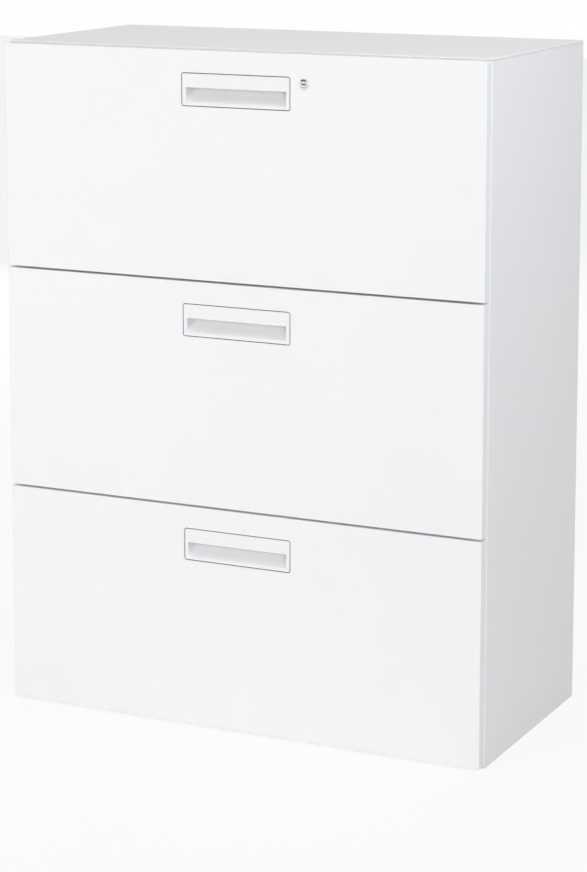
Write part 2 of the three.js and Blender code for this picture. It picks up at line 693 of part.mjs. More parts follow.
// Latch lever: hangs from its hub behind the handle's plate, with a tail for the spring.
function latchLever() {
  const face = shaftY - LEVER_SHEET / 2;
  const rear = shaftY + LEVER_SHEET / 2;
  const hub = rodAcross(SHAFT_RADIUS + FIT + HUB_WALL, shaftY, shaftZ, -LEVER_WIDTH / 2, LEVER_WIDTH / 2);
  const paddle = block([-LEVER_WIDTH / 2, face, shaftZ - LEVER_REACH], [LEVER_WIDTH / 2, rear, shaftZ]);
  const tailHalf = LEVER_TAIL_WIDTH / 2;
  const tail = block([-tailHalf, face, shaftZ], [tailHalf, rear, shaftZ + LEVER_TAIL]);
  return hub.add(paddle)
    .add(tail)
    .subtract(rodAcross(SHAFT_RADIUS + FIT, shaftY, shaftZ, -LEVER_WIDTH, LEVER_WIDTH));
}

// Latch shaft: a rod across the drawer with a hook at each end.
function latchShaft() {
  const legHalf = HOOK_HEIGHT / 2;
  const noseTop = catchBase + HOOK_BITE;
  const noseBack = noseFront + HOOK_NOSE;
  const outline = new THREE.Shape([
    new THREE.Vector2(shaftY - legHalf, hookBase),
    new THREE.Vector2(noseBack, hookBase),
    new THREE.Vector2(noseBack, noseTop),
    new THREE.Vector2(noseFront, noseTop),
    new THREE.Vector2(noseFront, hookTop),
    new THREE.Vector2(shaftY + legHalf, hookTop),
    new THREE.Vector2(shaftY + legHalf, shaftZ + legHalf),
    new THREE.Vector2(shaftY - legHalf, shaftZ + legHalf),
  ]);
  return rodAcross(SHAFT_RADIUS, shaftY, shaftZ, -hookInner - HOOK_SHEET / 2, hookInner + HOOK_SHEET / 2)
    .add(sweepAcross(outline, hookInner, hookOuter))
    .add(sweepAcross(outline, -hookOuter, -hookInner));
}

// Latch spring: a leaf on the front's upper lip, which presses the lever's tail.
function latchSpring() {
  const foot = frontBack - SHEET - FIT - SPRING_SHEET;
  const tip = shaftY + LEVER_SHEET / 2 + FIT;
  const top = shaftZ + SPRING_TOP;
  const section = [[foot, top], [foot, top - SPRING_FOOT], [tip, top - SPRING_FOOT - SPRING_SLOPE]];
  return sweepAcross(foldedSheet(section, SPRING_SHEET, BEND), -SPRING_WIDTH / 2, SPRING_WIDTH / 2);
}

// Lock: a barrel in the top front, the plug that the key turns, and the cam on its tail.
function lockHousing() {
  const flange = rodThrough(LOCK_FLANGE_RADIUS, LOCK_X, lockHeight, lockFace, frontFace - FIT);
  const barrel = rodThrough(LOCK_BODY_RADIUS, LOCK_X, lockHeight, lockFace, lockBack);
  const bore = rodThrough(PLUG_RADIUS + FIT, LOCK_X, lockHeight, lockFace - SHEET, lockBack + SHEET);
  return flange.add(barrel).subtract(bore);
}

function lockPlug() {
  const face = lockFace + PLUG_SINK;
  const plug = rodThrough(PLUG_RADIUS, LOCK_X, lockHeight, face, lockBack);
  const tail = rodThrough(TAIL_RADIUS, LOCK_X, lockHeight, lockBack - TAIL_END, camBack + TAIL_END);
  const keyway = block(
    [LOCK_X - KEYWAY_WIDTH / 2, face - SHEET, lockHeight - KEYWAY_HEIGHT / 2],
    [LOCK_X + KEYWAY_WIDTH / 2, face + KEYWAY_DEPTH, lockHeight + KEYWAY_HEIGHT / 2]);
  return plug.add(tail).subtract(keyway);
}

function lockCam() {
  const half = CAM_WIDTH / 2;
  const outline = roundedRectangle(
    LOCK_X - camLength, lockHeight - half, LOCK_X + half, lockHeight + half, half - FIT);
  return sweepThrough(outline, camFace, camBack)
    .subtract(rodThrough(TAIL_RADIUS + FIT, LOCK_X, lockHeight, camFace - SHEET, camBack + SHEET));
}

// Lock bar: an arm over the cam, a link back past the upright, and a bar with a tab for each drawer.
function lockBar() {
  const armMiddle = (camFace + camBack) / 2;
  const armFront = armMiddle - LOCK_ARM_WIDTH / 2;
  const armTop = armBase + LOCK_ARM_HEIGHT;
  const barBack = barFront + LOCK_BAR_WIDTH;
  const linkOuter = -hemInner - LOCK_ARM_GAP;
  const linkInner = linkOuter - LOCK_BAR_SHEET;
  const arm = block(
    [LOCK_X - camLength, armFront, armBase],
    [linkOuter, armFront + LOCK_ARM_WIDTH, armTop]);
  const link = block([linkInner, armFront, armBase], [linkOuter, barBack, armTop]);
  const bridge = block([linkInner, barFront, armBase], [barOuter, barBack, armTop]);
  const bar = block([barInner, barFront, drawerBase(0) + tabBase - LOCK_FOOT], [barOuter, barBack, armTop]);
  const tabs = DRAWERS.map((_, index) => block(
    [drawerHalf + LOCK_TAB_GAP, barFront, drawerBase(index) + tabBase],
    [barOuter, tabBack, drawerBase(index) + tabTop]));
  return tabs.reduce((whole, tab) => whole.add(tab), arm.add(link).add(bridge).add(bar));
}

// The carcass and what is fixed in it.
const cabinet = new THREE.Group();
cabinet.add(
  ...pair('side_panel', sidePanel(), whitePaint),
  named('back_panel', backPanel(), whitePaint),
  named('top_panel', topPanel(), whitePaint),
  named('bottom_panel', bottomPanel(), whitePaint),
  named('base_rail_front', baseRail(-hemInner - FIT, floorFront), whitePaint),
  named('base_rail_rear', baseRail(innerHalf, backPanelFace - FIT - BASE_DEPTH), whitePaint),
  ...pair('upright_front', catchUpright(), zincPlate),
  ...pair('upright_rear', upright(rearUprightFace), zincPlate),
  named('lock_bar', lockBar(), zincPlate));

// The drawers, each with its slides, and the lock in the top one.
DRAWERS.forEach((name, index) => {
  const locks = name === 'top';
  const drawer = new THREE.Group();
  drawer.position.z = drawerBase(index);
  drawer.add(
    ...pair(`slide_outer_${name}`, outerSlide(), zincPlate),
    ...pair(`slide_link_${name}`, linkSlide(), zincPlate),
    ...pair(`slide_inner_${name}`, innerSlide(), zincPlate),
    named(`front_panel_${name}`, frontPanel(locks), whitePaint),
    named(`front_liner_${name}`, frontLiner(locks), whitePaint),
    named(`drawer_tray_${name}`, drawerTray(), whitePaint),
    named(`drawer_back_${name}`, drawerBack(), whitePaint),
    named(`divider_${name}`, divider(), whitePaint),
    named(`handle_${name}`, handle(), whitePlastic),
    named(`latch_lever_${name}`, latchLever(), whitePlastic),
    named(`latch_shaft_${name}`, latchShaft(), zincPlate),
    named(`latch_spring_${name}`, latchSpring(), springSteel));
  if (locks) {
    drawer.add(
      named('lock_housing', lockHousing(), nickel),
      named('lock_plug', lockPlug(), nickel),
      named('lock_cam', lockCam(), zincPlate));
  }
  cabinet.add(drawer);
});

export default cabinet;
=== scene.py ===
import json
import math

import bmesh
import bpy
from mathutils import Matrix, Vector

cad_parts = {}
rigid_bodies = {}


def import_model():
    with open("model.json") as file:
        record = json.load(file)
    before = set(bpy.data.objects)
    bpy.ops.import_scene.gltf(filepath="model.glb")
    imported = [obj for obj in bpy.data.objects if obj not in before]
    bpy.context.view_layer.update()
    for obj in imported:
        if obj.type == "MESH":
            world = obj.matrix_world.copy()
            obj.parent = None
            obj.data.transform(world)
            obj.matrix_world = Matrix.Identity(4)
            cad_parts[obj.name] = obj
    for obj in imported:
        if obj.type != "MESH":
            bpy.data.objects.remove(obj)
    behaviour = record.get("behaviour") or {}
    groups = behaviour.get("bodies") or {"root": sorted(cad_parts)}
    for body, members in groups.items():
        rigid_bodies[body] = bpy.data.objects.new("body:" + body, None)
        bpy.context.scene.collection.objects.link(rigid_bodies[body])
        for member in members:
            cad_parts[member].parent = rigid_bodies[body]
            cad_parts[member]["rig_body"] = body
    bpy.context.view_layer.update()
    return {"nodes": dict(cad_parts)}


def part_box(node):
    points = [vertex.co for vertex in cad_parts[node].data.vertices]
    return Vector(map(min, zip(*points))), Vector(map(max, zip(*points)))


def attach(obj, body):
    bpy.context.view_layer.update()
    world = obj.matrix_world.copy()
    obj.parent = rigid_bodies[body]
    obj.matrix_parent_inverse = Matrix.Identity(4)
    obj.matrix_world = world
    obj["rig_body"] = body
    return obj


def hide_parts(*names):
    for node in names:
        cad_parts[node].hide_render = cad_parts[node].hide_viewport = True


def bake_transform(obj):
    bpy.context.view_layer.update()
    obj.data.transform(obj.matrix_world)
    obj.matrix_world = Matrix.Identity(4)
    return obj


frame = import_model()


# Side panels.
# Each side is one sheet of 1 mm steel with rounded folds at its front and back, powder-coated
# white. Spot welds hold the rear folds to the back panel and leave shallow ring marks.
def node_with(tree, kind, settings):
    """A new node with some of its sockets set."""
    node = tree.nodes.new(kind)
    for socket, value in settings.items():
        node.inputs[socket].default_value = value
    return node


def new_finish(name):
    """A new material, its node tree, its shader and its object coordinates."""
    material = bpy.data.materials.new(name)
    material.use_nodes = True
    tree = material.node_tree
    place = tree.nodes.new("ShaderNodeTexCoord").outputs["Object"]
    return material, tree, tree.nodes["Principled BSDF"], place


def patterned(tree, shader, pattern, span, tones, gloss, relief, strength, depth):
    """Ties a finish's tone and gloss to a pattern, and its fine bumps to a relief."""
    tone = tree.nodes.new("ShaderNodeValToRGB")
    for stop, position, colour in zip(tone.color_ramp.elements, span, tones):
        stop.position = position
        stop.color = (*colour, 1)
    rough = node_with(tree, "ShaderNodeMapRange", {"To Min": gloss[0], "To Max": gloss[1]})
    bump = node_with(tree, "ShaderNodeBump", {"Strength": strength, "Distance": depth})
    tree.links.new(pattern, tone.inputs["Fac"])
    tree.links.new(pattern, rough.inputs["Value"])
    tree.links.new(relief, bump.inputs["Height"])
    tree.links.new(tone.outputs["Color"], shader.inputs["Base Color"])
    tree.links.new(rough.outputs["Result"], shader.inputs["Roughness"])
    tree.links.new(bump.outputs["Normal"], shader.inputs["Normal"])


def coat_or_moulding(name, pale, deep, roughness, peel_size, peel_depth):
    """Powder coat, plastic and the near-black finish that paints shade: faint clouds in the tone and gloss,
    and a fine orange peel.
    """
    gloss_spread = 0.05
    material, tree, shader, place = new_finish(name)
    shader.inputs["Specular IOR Level"].default_value = 0.35
    cloud = node_with(tree, "ShaderNodeTexNoise", {"Scale": 4.0, "Detail": 3.0})
    peel = node_with(tree, "ShaderNodeTexNoise", {"Scale": 1 / peel_size, "Detail": 2.0})
    tree.links.new(place, cloud.inputs["Vector"])
    tree.links.new(place, peel.inputs["Vector"])
    patterned(
        tree,
        shader,
        pattern=cloud.outputs["Fac"],
        span=(0.3, 0.7),
        tones=(deep, pale),
        gloss=(roughness - gloss_spread, roughness + gloss_spread),
        relief=peel.outputs["Fac"],
        strength=0.25,
        depth=peel_depth,
    )
    return material


def whole_copy(node, finish):
    """A new piece with a solid's shape, its facets joined and its flats made whole."""
    join_distance = 0.00001
    flat_angle = math.radians(0.5)
    shape = bmesh.new()
    shape.from_mesh(frame["nodes"][node].data)
    bmesh.ops.remove_doubles(shape, verts=shape.verts, dist=join_distance)
    bmesh.ops.dissolve_limit(
        shape, angle_limit=flat_angle, verts=shape.verts, edges=shape.edges
    )
    for face in shape.faces:
        face.smooth = True
    mesh = bpy.data.meshes.new(f"{node}_finished")
    shape.to_mesh(mesh)
    shape.free()
    if "custom_normal" in mesh.attributes:
        mesh.attributes.remove(mesh.attributes["custom_normal"])
    mesh.materials.clear()
    mesh.materials.append(finish)
    piece = bpy.data.objects.new(f"{node}_finished", mesh)
    bpy.context.scene.collection.objects.link(piece)
    return piece


def eased(piece, node, ease):
    """Eases a piece's edges by a radius, and puts it in its solid's place."""
    edges = piece.modifiers.new("eased edges", "BEVEL")
    edges.width = ease
    edges.segments = 2
    edges.limit_method = "ANGLE"
    edges.angle_limit = math.radians(40)
    piece.modifiers.new("flat faces", "WEIGHTED_NORMAL")
    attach(piece, frame["nodes"][node]["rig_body"])
    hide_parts(node)


def finished_copy(node, finish, ease):
    """A new piece for a solid, in a finish and with eased edges."""
    eased(whole_copy(node, finish), node, ease)


def geometry_tree(name, inputs):
    """A new geometry tree, its first and last nodes, and the identifiers of its named inputs."""
    tree = bpy.data.node_groups.new(name, "GeometryNodeTree")
    tree.interface.new_socket("Geometry", in_out="INPUT", socket_type="NodeSocketGeometry")
    tree.interface.new_socket("Geometry", in_out="OUTPUT", socket_type="NodeSocketGeometry")
    keys = {}
    for label, kind in inputs.items():
        socket = tree.interface.new_socket(label, in_out="INPUT", socket_type=kind)
        keys[label] = socket.identifier
    return tree, tree.nodes.new("NodeGroupInput"), tree.nodes.new("NodeGroupOutput"), keys


def placed_at_points(tree, start, points, shape):
    """A shape on every point, with its Z axis turned to the facing direction."""
    turn = tree.nodes.new("FunctionNodeAlignRotationToVector")
    turn.axis = "Z"
    put = tree.nodes.new("GeometryNodeInstanceOnPoints")
    tree.links.new(start.outputs["Facing"], turn.inputs["Vector"])
    tree.links.new(points, put.inputs["Points"])
    tree.links.new(shape, put.inputs["Instance"])
    tree.links.new(turn.outputs["Rotation"], put.inputs["Rotation"])
    return put.outputs["Instances"]


def ended(tree, start, end, geometry):
    """Ends a geometry tree in one whole mesh in one finish."""
    whole = tree.nodes.new("GeometryNodeRealizeInstances")
    finish = tree.nodes.new("GeometryNodeSetMaterial")
    tree.links.new(geometry, whole.inputs["Geometry"])
    tree.links.new(whole.outputs["Geometry"], finish.inputs["Geometry"])
    tree.links.new(start.outputs["Finish"], finish.inputs["Material"])
    tree.links.new(finish.outputs["Geometry"], end.inputs["Geometry"])


def shaped_by(tree, keys, piece, values):
    """Runs a geometry tree on a piece, and keeps the plain mesh that it makes."""
    maker = piece.modifiers.new("maker", "NODES")
    maker.node_group = tree
    for label, value in values.items():
        maker[keys[label]] = value
    graph = bpy.context.evaluated_depsgraph_get()
    mesh = bpy.data.meshes.new_from_object(piece.evaluated_get(graph), depsgraph=graph)
    piece.modifiers.clear()
    piece.data = mesh


def made_by(tree, keys, name, points, values):
    """A new piece that a geometry tree makes from some points."""
    base = bpy.data.meshes.new(name)
    base.from_pydata(points, [], [])
    piece = bpy.data.objects.new(name, base)
    bpy.context.scene.collection.objects.link(piece)
    shaped_by(tree, keys, piece, values)
    return piece


white_paint = coat_or_moulding(
    "white powder coat",
    pale=(0.905, 0.912, 0.925),
    deep=(0.89, 0.897, 0.912),
    roughness=0.42,
    peel_size=0.0016,
    peel_depth=0.0001,
)
carcass_ease = 0.0003
for side in ("left", "right"):
    finished_copy(f"side_panel_{side}", white_paint, carcass_ease)

weld_tree, weld_start, weld_end, weld_keys = geometry_tree(
    "weld marks",
    {
        "Facing": "NodeSocketVector",
        "Mark radius": "NodeSocketFloat",
        "Ridge radius": "NodeSocketFloat",
        "Finish": "NodeSocketMaterial",
    },
)
weld_ring = node_with(weld_tree, "GeometryNodeCurvePrimitiveCircle", {"Resolution": 20})
weld_section = node_with(weld_tree, "GeometryNodeCurvePrimitiveCircle", {"Resolution": 6})
weld_mark = weld_tree.nodes.new("GeometryNodeCurveToMesh")
weld_tree.links.new(weld_start.outputs["Mark radius"], weld_ring.inputs["Radius"])
weld_tree.links.new(weld_start.outputs["Ridge radius"], weld_section.inputs["Radius"])
weld_tree.links.new(weld_ring.outputs["Curve"], weld_mark.inputs["Curve"])
weld_tree.links.new(weld_section.outputs["Curve"], weld_mark.inputs["Profile Curve"])
weld_marks = placed_at_points(
    weld_tree, weld_start, weld_start.outputs["Geometry"], weld_mark.outputs["Mesh"]
)
ended(weld_tree, weld_start, weld_end, weld_marks)

backward = (0.0, 1.0, 0.0)
weld_inset = 0.008
weld_first = 0.06
weld_pitch = 0.09
weld_count = 11
weld_radius = 0.003
weld_ridge = 0.0002
side_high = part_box("side_panel_right")[1]
weld_x = side_high.x - weld_inset
weld_y = side_high.y - weld_ridge
weld_points = [
    (sign * weld_x, weld_y, weld_first + weld_pitch * step)
    for sign in (-1, 1)
    for step in range(weld_count)
]
rear_welds = made_by(
    weld_tree,
    weld_keys,
    "rear_weld_marks",
    weld_points,
    {
        "Facing": backward,
        "Mark radius": weld_radius,
        "Ridge radius": weld_ridge,
        "Finish": white_paint,
    },
)
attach(rear_welds, "cabinet")


# Back panel.
# A plain steel sheet inside the side panels' rear folds, painted with them. Pan-head screws fix
# its top edge to the top panel's rear flange and its bottom edge to the rear base rail.
def coated(node, finish):
    """A solid that keeps its own mesh and takes a finish."""
    frame["nodes"][node].material_slots[0].material = finish


coated("back_panel", white_paint)

screw_tree, screw_start, screw_end, screw_keys = geometry_tree(
    "screw heads",
    {
        "Facing": "NodeSocketVector",
        "Head radius": "NodeSocketFloat",
        "Crown radius": "NodeSocketFloat",
        "Head height": "NodeSocketFloat",
        "Recess": "NodeSocketVector",
        "Finish": "NodeSocketMaterial",
    },
)
screw_head = node_with(screw_tree, "GeometryNodeMeshCone", {"Vertices": 20})
screw_tree.links.new(screw_start.outputs["Head radius"], screw_head.inputs["Radius Bottom"])
screw_tree.links.new(screw_start.outputs["Crown radius"], screw_head.inputs["Radius Top"])
screw_tree.links.new(screw_start.outputs["Head height"], screw_head.inputs["Depth"])
screw_shape = screw_head.outputs["Mesh"]
# The second blade of the cross cuts a little less deep, so that the two floors stay apart.
for blade_turn, blade_rise in ((0.0, 1.0), (math.pi / 2, 1.06)):
    screw_rise = node_with(screw_tree, "ShaderNodeMath", {1: blade_rise})
    screw_rise.operation = "MULTIPLY"
    screw_lift = screw_tree.nodes.new("ShaderNodeCombineXYZ")
    screw_blade = screw_tree.nodes.new("GeometryNodeMeshCube")
    screw_place = node_with(
        screw_tree, "GeometryNodeTransform", {"Rotation": (0.0, 0.0, blade_turn)}
    )
    screw_cut = screw_tree.nodes.new("GeometryNodeMeshBoolean")
    screw_cut.operation = "DIFFERENCE"
    screw_tree.links.new(screw_start.outputs["Head height"], screw_rise.inputs[0])
    screw_tree.links.new(screw_rise.outputs["Value"], screw_lift.inputs["Z"])
    screw_tree.links.new(screw_start.outputs["Recess"], screw_blade.inputs["Size"])
    screw_tree.links.new(screw_lift.outputs["Vector"], screw_place.inputs["Translation"])
    screw_tree.links.new(screw_blade.outputs["Mesh"], screw_place.inputs["Geometry"])
    screw_tree.links.new(screw_shape, screw_cut.inputs["Mesh 1"])
    screw_tree.links.new(screw_place.outputs["Geometry"], screw_cut.inputs["Mesh 2"])
    screw_shape = screw_cut.outputs["Mesh"]
screw_row = placed_at_points(
    screw_tree, screw_start, screw_start.outputs["Geometry"], screw_shape
)
ended(screw_tree, screw_start, screw_end, screw_row)


def screws(name, body, points, facing, radius, height, finish):
    """Pan-head screws with a cross recess at some points."""
    recess_length = 1.1 * radius
    recess_width = 0.24 * radius
    recess_depth = 1.2 * height
    row = made_by(
        screw_tree,
        screw_keys,
        name,
        points,
        {
            "Facing": facing,
            "Head radius": radius,
            "Crown radius": 0.62 * radius,
            "Head height": height,
            "Recess": (recess_length, recess_width, recess_depth),
            "Finish": finish,
        },
    )
    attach(row, body)


back_low, back_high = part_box("back_panel")
back_screws_low = 0.012
back_screws_high = 0.0125
back_screw_pitch = 0.12
back_screw_count = 7
back_screw_points = [
    (back_screw_pitch * (step - (back_screw_count - 1) / 2), back_high.y, height)
    for height in (back_low.z + back_screws_low, back_high.z - back_screws_high)
    for step in range(back_screw_count)
]
screws(
    "back_panel_screws",
    "cabinet",
    back_screw_points,
    facing=backward,
    radius=0.004,
    height=0.0012,
    finish=white_paint,
)


# Top panel.
# One pressing in the same white paint: a skin with a rounded edge, flanges that drop inside the
# carcass, and a front rail. A fine shadow seam parts it from the sides.
finished_copy("top_panel", white_paint, carcass_ease)


# Bottom panel and base rails.
# The floor of the carcass is a flat sheet on two shallow channels, all painted white. The channels
# rest on the ground and have holes for floor bolts.
for node in ("bottom_panel", "base_rail_front", "base_rail_rear"):
    coated(node, white_paint)


# Uprights.
# Four slotted channels in zinc-plated steel stand inside the corners and carry the slides. The
# front pair has a small catch for each drawer's latch.
def rolled_steel(name, pale, deep, roughness, grain):
    """Plated or blued steel sheet: tone and gloss vary with the grain that rolling leaves."""
    gloss_spread = 0.1
    material, tree, shader, place = new_finish(name)
    shader.inputs["Metallic"].default_value = 1.0
    roll = node_with(tree, "ShaderNodeMapping", {"Scale": grain})
    streak = node_with(tree, "ShaderNodeTexNoise", {"Scale": 1.0, "Detail": 5.0})
    tree.links.new(place, roll.inputs["Vector"])
    tree.links.new(roll.outputs["Vector"], streak.inputs["Vector"])
    patterned(
        tree,
        shader,
        pattern=streak.outputs["Fac"],
        span=(0.3, 0.7),
        tones=(deep, pale),
        gloss=(roughness + gloss_spread, roughness - gloss_spread),
        relief=streak.outputs["Fac"],
        strength=0.15,
        depth=0.00005,
    )
    return material


zinc_plate = rolled_steel(
    "zinc plate",
    pale=(0.62, 0.64, 0.67),
    deep=(0.5, 0.52, 0.55),
    roughness=0.38,
    grain=(160.0, 12.0, 160.0),
)
for place in ("front", "rear"):
    for side in ("left", "right"):
        coated(f"upright_{place}_{side}", zinc_plate)


# Drawer slides.
# Each side of a drawer runs on three nested channels of zinc-plated steel: one hooked to the
# uprights, one screwed to the drawer, and a link between them, punched so a driver can pass.
hole_tree, hole_start, hole_end, hole_keys = geometry_tree(
    "access holes",
    {
        "First hole": "NodeSocketVector",
        "Pitch": "NodeSocketVector",
        "Holes": "NodeSocketInt",
        "Hole radius": "NodeSocketFloat",
        "Punch length": "NodeSocketFloat",
        "Facing": "NodeSocketVector",
        "Finish": "NodeSocketMaterial",
    },
)
hole_row = hole_tree.nodes.new("GeometryNodeMeshLine")
hole_punch = node_with(hole_tree, "GeometryNodeMeshCylinder", {"Vertices": 32})
hole_cut = hole_tree.nodes.new("GeometryNodeMeshBoolean")
hole_cut.operation = "DIFFERENCE"
hole_tree.links.new(hole_start.outputs["Holes"], hole_row.inputs["Count"])
hole_tree.links.new(hole_start.outputs["First hole"], hole_row.inputs["Start Location"])
hole_tree.links.new(hole_start.outputs["Pitch"], hole_row.inputs["Offset"])
hole_tree.links.new(hole_start.outputs["Hole radius"], hole_punch.inputs["Radius"])
hole_tree.links.new(hole_start.outputs["Punch length"], hole_punch.inputs["Depth"])
hole_punches = placed_at_points(
    hole_tree, hole_start, hole_row.outputs["Mesh"], hole_punch.outputs["Mesh"]
)
hole_tree.links.new(hole_start.outputs["Geometry"], hole_cut.inputs["Mesh 1"])
hole_tree.links.new(hole_punches, hole_cut.inputs["Mesh 2"])
ended(hole_tree, hole_start, hole_end, hole_cut.outputs["Mesh"])

drawers = ("bottom", "middle", "top")
slide_ease = 0.0002
slide_sheet = 0.0012
hole_count = 7
hole_pitch = 0.05
hole_margin = 0.025
hole_radius = 0.005
punch_length = 0.006
holes_to_a_screw = 2
for drawer in drawers:
    for side, sign in (("left", -1), ("right", 1)):
        outward = (float(sign), 0.0, 0.0)
        for member in ("outer", "inner"):
            finished_copy(f"slide_{member}_{drawer}_{side}", zinc_plate, slide_ease)
        link_node = f"slide_link_{drawer}_{side}"
        link_low, link_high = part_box(link_node)
        link_web = max(abs(link_low.x), abs(link_high.x))
        first_hole = link_low.y + hole_margin
        slide_middle = (link_low.z + link_high.z) / 2
        link = whole_copy(link_node, zinc_plate)
        shaped_by(
            hole_tree,
            hole_keys,
            link,
            {
                "First hole": (sign * link_web, first_hole, slide_middle),
                "Pitch": (0.0, hole_pitch, 0.0),
                "Holes": hole_count,
                "Hole radius": hole_radius,
                "Punch length": punch_length,
                "Facing": outward,
                "Finish": zinc_plate,
            },
        )
        eased(link, link_node, slide_ease)
        inner_low, inner_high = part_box(f"slide_inner_{drawer}_{side}")
        inner_web = min(abs(inner_low.x), abs(inner_high.x)) + slide_sheet
        inner_screws = [
            (sign * inner_web, first_hole + hole_pitch * hole, slide_middle)
            for hole in range(0, hole_count, holes_to_a_screw)
        ]
        screws(
            f"slide_screws_{drawer}_{side}",
            f"drawer_{drawer}",
            inner_screws,
            facing=outward,
            radius=0.0036,
            height=0.0014,
            finish=zinc_plate,
        )


# Drawer boxes.
# Sides and floor are one folded sheet, with a folded back, a front liner and a loose divider, all
# painted white. Screws through the liner hold the drawer's front.
box_ease = 0.0002
liner_sheet = 0.001
liner_screw_rows = (0.05, 0.28)
liner_screw_columns = (-0.34, -0.2, 0.2, 0.34)
for drawer in drawers:
    for piece in ("drawer_tray", "drawer_back", "divider", "front_liner"):
        finished_copy(f"{piece}_{drawer}", white_paint, box_ease)
    liner_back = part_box(f"front_liner_{drawer}")[0].y + liner_sheet
    front_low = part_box(f"front_panel_{drawer}")[0].z
    liner_screws = [
        (across, liner_back, front_low + rise)
        for rise in liner_screw_rows
        for across in liner_screw_columns
    ]
    screws(
        f"liner_screws_{drawer}",
        f"drawer_{drawer}",
        liner_screws,
        facing=backward,
        radius=0.004,
        height=0.0016,
        finish=zinc_plate,
    )


# Drawer fronts.
# Each front is a hollow steel pan with rounded edges, 17 mm deep and powder-coated white. It covers
# the carcass's edges and is cut out for the handle, and in the top drawer for the lock.
front_ease = 0.0002
for drawer in drawers:
    finished_copy(f"front_panel_{drawer}", white_paint, front_ease)


# Handles.
# A white plastic moulding clipped into the front: a flat plate over a finger recess that curves
# back and up behind it, with rounded ends. A dark ring in the groove round the plate is painted shade for
# the groove's shadow.
white_plastic = coat_or_moulding(
    "white moulded plastic",
    pale=(0.895, 0.902, 0.915),
    deep=(0.88, 0.887, 0.902),
    roughness=0.5,
    peel_size=0.0007,
    peel_depth=0.00005,
)
# A near-black finish that paints shade: it colours the handle grooves, the lock's rim, the crescent above
# its keyway and the keyway itself as shadowed.
dark_shade_finish = coat_or_moulding(
    "dark painted shade",
    pale=(0.055, 0.066, 0.066),
    deep=(0.035, 0.043, 0.043),
    roughness=0.75,
    peel_size=0.0006,
    peel_depth=0.00005,
)
handle_ease = 0.0004
handle_flange = 0.005
handle_corner = 0.0025
handle_rim = 0.0055
handle_lip = 0.003
corner_steps = 6
groove = 0.0013
# The three sizes below shape the dark ring that paints the groove's shade.
shade_ring_play = 0.00005
shade_ring_sink = 0.0005
shade_ring_depth = 0.0013
recess_depth = 0.024
recess_height = 0.04
recess_steps = 14
rim_run = 0.004
back_run = 0.022
back_lean = 0.003
fillet_radius = 0.008
fillet_share = 0.9
fillet_root = 0.0003
fillet_drop = 0.0005
fillet_steps = 8


def new_piece(name, shape, finish):
    """A new piece from a mesh under construction, with smooth faces and crisp edges."""
    crisp_angle = math.radians(35)
    bmesh.ops.recalc_face_normals(shape, faces=shape.faces)
    mesh = bpy.data.meshes.new(name)
    shape.to_mesh(mesh)
    shape.free()
    mesh.materials.append(finish)
    mesh.shade_smooth()
    mesh.set_sharp_from_angle(angle=crisp_angle)
    piece = bpy.data.objects.new(name, mesh)
    bpy.context.scene.collection.objects.link(piece)
    return piece


def skin(shape, loops, joined):
    """Faces between closed loops of points. The last loop meets the first, or both ends are closed."""
    rings = [[shape.verts.new(point) for point in loop] for loop in loops]
    pairs = list(zip(rings, rings[1:]))
    if joined:
        pairs.append((rings[-1], rings[0]))
    else:
        shape.faces.new(rings[0])
        shape.faces.new(rings[-1])
    for here, there in pairs:
        for corner in range(len(here)):
            after = (corner + 1) % len(here)
            shape.faces.new((here[corner], here[after], there[after], there[corner]))


def rounded_loop(half, low, high, radius):
    """The corners of a rounded rectangle about the handle's middle, in X and Z."""
    centres = [
        (half - radius, high - radius),
        (radius - half, high - radius),
        (radius - half, low + radius),
        (half - radius, low + radius),
    ]
    loop = []
    for quarter, (x, z) in enumerate(centres):
        for step in range(corner_steps + 1):
            angle = math.pi / 2 * (quarter + step / corner_steps)
            loop.append((x + radius * math.cos(angle), z + radius * math.sin(angle)))
    return loop


def recess_levels(face, rim, top):
    """Depth and height of the recess's surface, from near its lower rim to behind the plate."""
    back = face + recess_depth
    crest = rim + recess_height
    curve = [
        (face, rim),
        (face, rim + rim_run),
        (back - back_lean, crest - back_run),
        (back, crest),
    ]
    levels = []
    for step in range(1, recess_steps + 1):
        done = step / recess_steps
        left = 1 - done
        weights = (left**3, 3 * done * left**2, 3 * done**2 * left, done**3)
        depth = sum(weight * point[0] for weight, point in zip(weights, curve))
        height = sum(weight * point[1] for weight, point in zip(weights, curve))
        levels.append((depth, height))
    levels.append((back, top))
    return levels


def fillet_loops(sign, half, face, levels):
    """The loops of points up one end of a recess, where its end wall rounds into its back."""
    loops = []
    for depth, height in levels:
        radius = min(fillet_radius, fillet_share * (depth - face))
        middle = half - radius
        plan = []
        for step in range(fillet_steps + 1):
            angle = math.pi / 2 * step / fillet_steps
            plan.append((middle + radius * math.cos(angle), depth - radius + radius * math.sin(angle), 0.0))
        plan.append((middle, depth + fillet_root, -fillet_root))
        plan.append((half + fillet_root, depth + fillet_root, -fillet_root))
        plan.append((half + fillet_root, depth - radius, 0.0))
        loops.append([(sign * x, y, height + drop) for x, y, drop in plan])
    return loops


